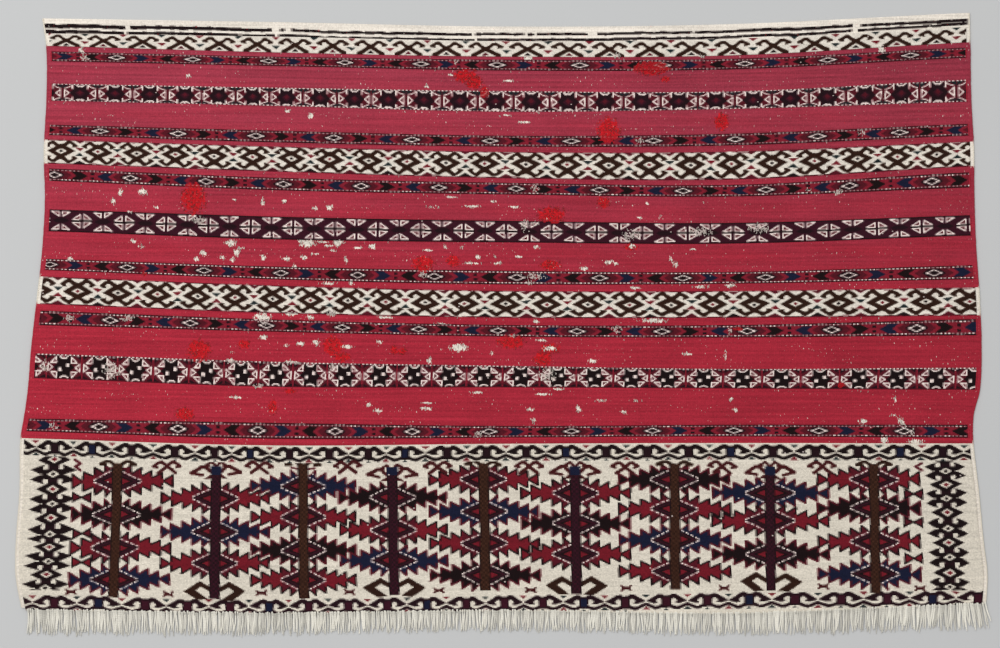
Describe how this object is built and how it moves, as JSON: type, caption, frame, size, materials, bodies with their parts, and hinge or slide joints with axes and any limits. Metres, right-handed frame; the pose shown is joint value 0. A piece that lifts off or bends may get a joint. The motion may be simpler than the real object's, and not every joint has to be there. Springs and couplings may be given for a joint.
{
  "type": "storage bag face",
  "caption": "Flat woven face of a storage bag with raised knotted bands, a deep knotted lower panel, a plain hem and a cut warp fringe.",
  "frame": {"origin": "centre of the bounding box in plan, on the floor under the cloth", "axes": "+X along the bands from left to right, +Y towards the plain top hem, +Z out of the patterned face"},
  "size_m": [1.2306, 0.7852, 0.0039],
  "materials": {
    "wool_cloth": "matt wool flatweave with knotted pile bands",
    "warp_yarn": "matt undyed wool yarn"
  },
  "bodies": {
    "root": {"face_cloth": "wool_cloth", "warp_fringe": "warp_yarn"}
  },
  "joints": []
}
